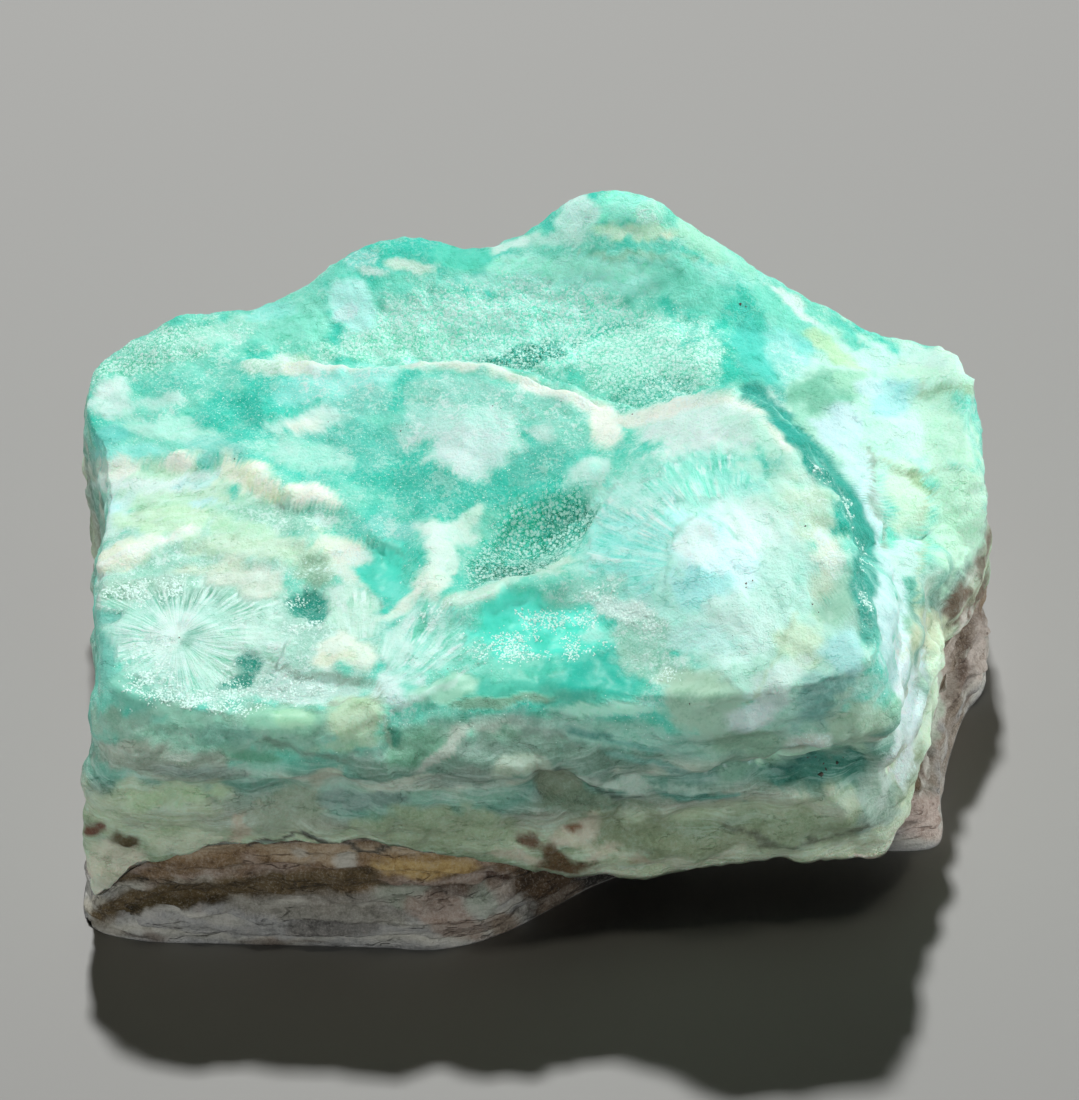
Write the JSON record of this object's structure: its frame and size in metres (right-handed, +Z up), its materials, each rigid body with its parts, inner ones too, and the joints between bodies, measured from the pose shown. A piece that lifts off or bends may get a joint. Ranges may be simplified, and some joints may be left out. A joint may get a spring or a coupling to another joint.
{
  "type": "smithsonite cluster",
  "caption": "Hand-sized block of blue-green smithsonite with a ridged druzy top, grown on a slab of brown and grey host rock; stands on its flat underside.",
  "frame": {"origin": "centre of the flat underside, on the surface the specimen stands on", "axes": "+X to the right along the specimen's length, +Y to its back, +Z up"},
  "size_m": [0.1118, 0.0868, 0.0478],
  "materials": {
    "smithsonite": "waxy to glassy, translucent, with sugary druse",
    "host_rock": "dull, rough broken rock"
  },
  "bodies": {
    "root": {"smithsonite": "smithsonite", "matrix": "host_rock"}
  },
  "joints": []
}
